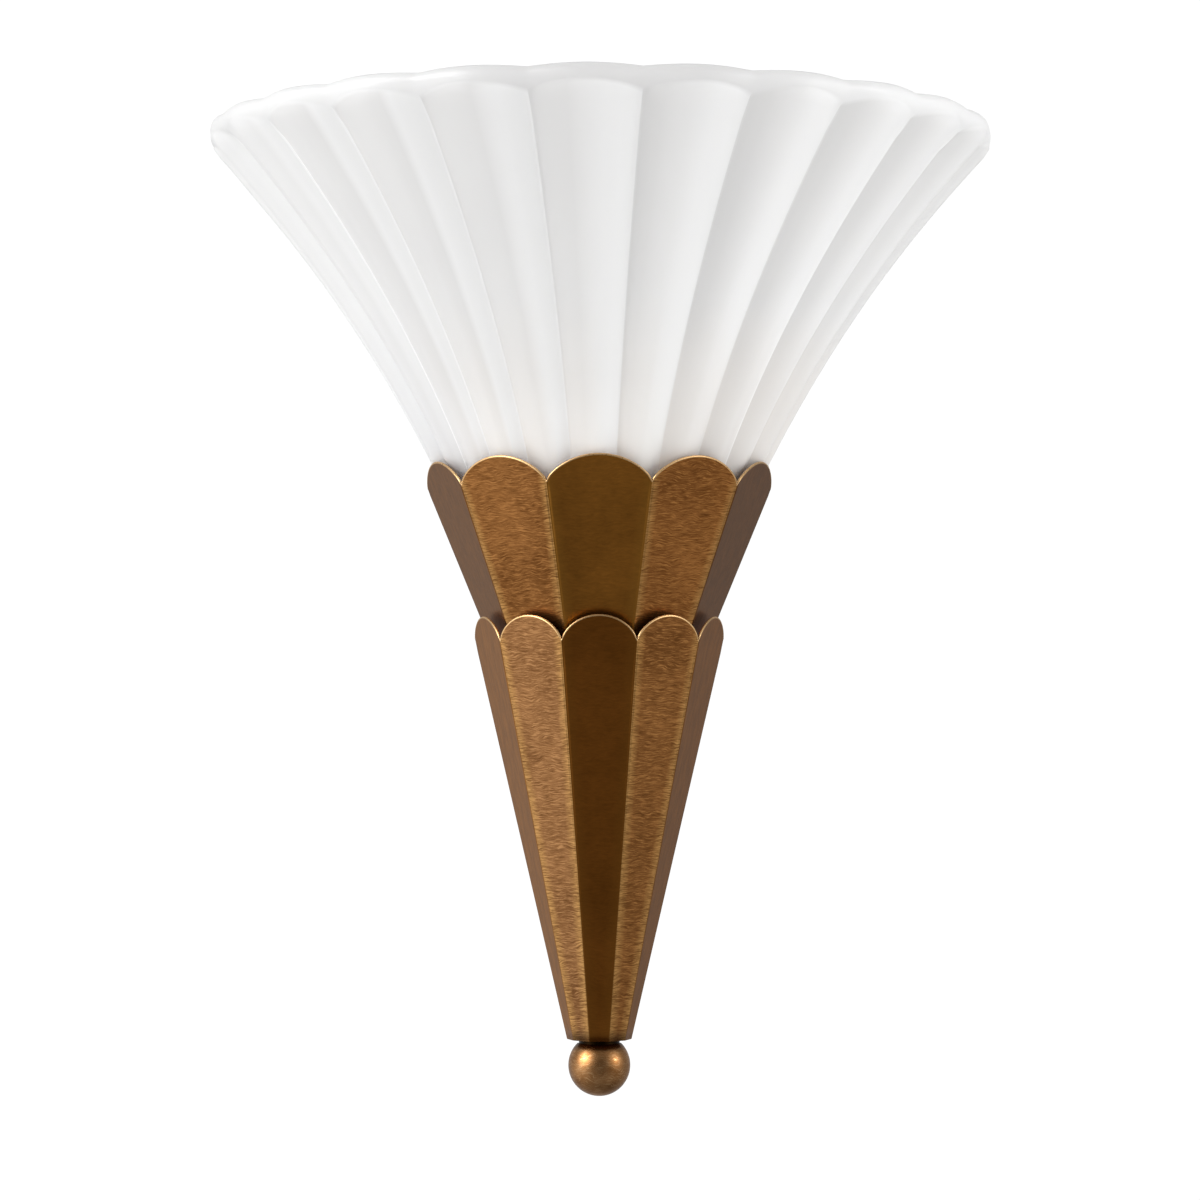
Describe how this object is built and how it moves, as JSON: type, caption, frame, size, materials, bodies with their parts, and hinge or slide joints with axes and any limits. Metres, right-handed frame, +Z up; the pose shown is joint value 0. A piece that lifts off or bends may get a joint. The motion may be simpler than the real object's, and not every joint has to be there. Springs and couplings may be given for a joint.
{
  "type": "shell wall sconce",
  "caption": "Half-round wall sconce: a fluted, flared opal glass shell standing in a folded brass torch with scalloped tiers and a ball finial, on a strap for an outlet box.",
  "frame": {"origin": "centre of the mounting strap's back face, on the wall plane, midway between the two outlet box screws", "axes": "+Y into the wall, +Z up, +X to the right of someone facing the wall; the light stands towards -Y"},
  "size_m": [0.33, 0.1656, 0.4074],
  "materials": {
    "aged_brass": "antique brass, satin, hand-rubbed lengthways and across, under lacquer",
    "bare_brass": "plain drawn brass",
    "zinc_steel": "zinc plated",
    "bronzed_steel": "dark bronze paint, satin",
    "green_steel": "green lacquered screw",
    "black_rubber": "moulded, matt",
    "clear_rubber": "translucent soft rubber",
    "ivory_plastic": "moulded",
    "black_glass": "fused black insulator",
    "lamp_cap": "threaded thin cap",
    "frosted_glass": "frosted inside",
    "opal_glass": "pressed opal glass, satin outside",
    "black_lead": "wire insulation",
    "white_lead": "wire insulation",
    "green_lead": "wire insulation"
  },
  "bodies": {
    "fixture": {"mounting_strap": "zinc_steel", "strap_studs": "zinc_steel", "stud_washers": "zinc_steel", "stud_nuts": "zinc_steel", "back_plate": "bronzed_steel", "grommet": "black_rubber", "upper_cup": "aged_brass", "lower_cone": "aged_brass", "tier_plate": "zinc_steel", "cup_clips": "zinc_steel", "cone_clips": "zinc_steel", "clip_screws": "zinc_steel", "tier_screws": "zinc_steel", "cone_foot_plate": "aged_brass", "finial_collar": "aged_brass", "finial_ball": "aged_brass", "finial_screw": "zinc_steel", "seat_plate": "zinc_steel", "seat_brackets": "zinc_steel", "bracket_rivets": "zinc_steel", "seat_screws": "zinc_steel", "seat_gasket": "clear_rubber", "edge_pads": "clear_rubber", "socket_body": "ivory_plastic", "socket_shell": "bare_brass", "socket_contact": "bare_brass", "socket_nipple": "zinc_steel", "lock_washer": "zinc_steel", "nipple_nut": "bare_brass", "terminal_block": "ivory_plastic", "terminal_screws": "zinc_steel", "block_screws": "zinc_steel", "live_lead": "black_lead", "neutral_lead": "white_lead", "earth_lead": "green_lead", "earth_tag": "zinc_steel", "earth_screw": "green_steel"},
    "shade": {"glass_shade": "opal_glass"},
    "bulb_carrier": {"bulb_contact": "bare_brass"},
    "bulb": {"bulb_cap": "lamp_cap", "bulb_insulator": "black_glass", "bulb_globe": "frosted_glass"}
  },
  "joints": [
    {"name": "shade_lift", "type": "slide", "parent": "fixture", "child": "shade", "axis": [0, 0, 1], "range_m": [0, 0.13]},
    {"name": "bulb_lift", "type": "slide", "parent": "fixture", "child": "bulb_carrier", "axis": [0, 0, 1], "range_m": [0, 0.0102]},
    {"name": "bulb_turn", "type": "hinge", "parent": "bulb_carrier", "child": "bulb", "pos_m": [0, -0.0245, 0], "axis": [0, 0, 1], "range_deg": [0, 1440]}
  ],
  "couplings": [
    {"joint": "bulb_lift", "follows": "bulb_turn", "m_per_rad": 0.00040425}
  ]
}
